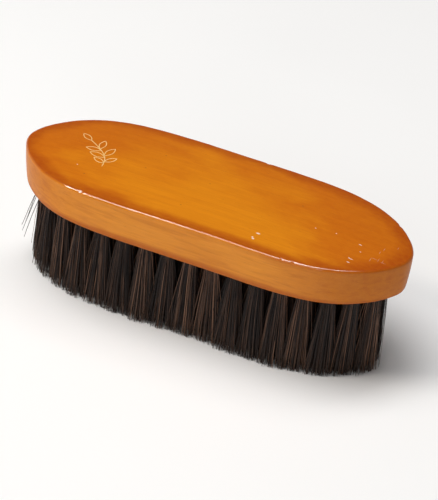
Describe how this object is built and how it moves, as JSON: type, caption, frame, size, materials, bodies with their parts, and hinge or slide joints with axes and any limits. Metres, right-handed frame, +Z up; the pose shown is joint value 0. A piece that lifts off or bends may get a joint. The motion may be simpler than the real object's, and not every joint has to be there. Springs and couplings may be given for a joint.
{
  "type": "clothes brush",
  "caption": "Hand brush with a long oval solid wooden back, crowned on top, and a dense field of straight dark bristle tufts set in blind holes and held by flat wire anchors.",
  "frame": {"origin": "under the middle of the brush, on the plane of the bristle tips that it stands on", "axes": "+X along the brush, +Y across it, +Z up from the bristle tips through the wooden back"},
  "size_m": [0.205, 0.0742, 0.0709],
  "materials": {
    "stained_wood": "honey-orange stain under gloss varnish, darker towards the edges",
    "bristle": "straight satin fibres, near black mixed with dark brown",
    "anchor_wire": "bright flat wire"
  },
  "bodies": {
    "root": {"brush_back": "stained_wood", "border_tuft_01": "bristle", "border_tuft_02": "bristle", "border_tuft_03": "bristle", "border_tuft_04": "bristle", "border_tuft_05": "bristle", "border_tuft_06": "bristle", "border_tuft_07": "bristle", "border_tuft_08": "bristle", "border_tuft_09": "bristle", "border_tuft_10": "bristle", "border_tuft_11": "bristle", "border_tuft_12": "bristle", "border_tuft_13": "bristle", "border_tuft_14": "bristle", "border_tuft_15": "bristle", "border_tuft_16": "bristle", "border_tuft_17": "bristle", "border_tuft_18": "bristle", "border_tuft_19": "bristle", "border_tuft_20": "bristle", "border_tuft_21": "bristle", "border_tuft_22": "bristle", "border_tuft_23": "bristle", "border_tuft_24": "bristle", "border_tuft_25": "bristle", "border_tuft_26": "bristle", "border_tuft_27": "bristle", "border_tuft_28": "bristle", "border_tuft_29": "bristle", "border_tuft_30": "bristle", "border_tuft_31": "bristle", "border_tuft_32": "bristle", "border_tuft_33": "bristle", "border_tuft_34": "bristle", "middle_ring_tufts": "bristle", "inner_ring_tufts": "bristle", "tuft_anchor_01": "anchor_wire", "tuft_anchor_02": "anchor_wire", "tuft_anchor_03": "anchor_wire", "tuft_anchor_04": "anchor_wire", "tuft_anchor_05": "anchor_wire", "tuft_anchor_06": "anchor_wire", "tuft_anchor_07": "anchor_wire", "tuft_anchor_08": "anchor_wire", "tuft_anchor_09": "anchor_wire", "tuft_anchor_10": "anchor_wire", "tuft_anchor_11": "anchor_wire", "tuft_anchor_12": "anchor_wire", "tuft_anchor_13": "anchor_wire", "tuft_anchor_14": "anchor_wire", "tuft_anchor_15": "anchor_wire", "tuft_anchor_16": "anchor_wire", "tuft_anchor_17": "anchor_wire"}
  },
  "joints": []
}
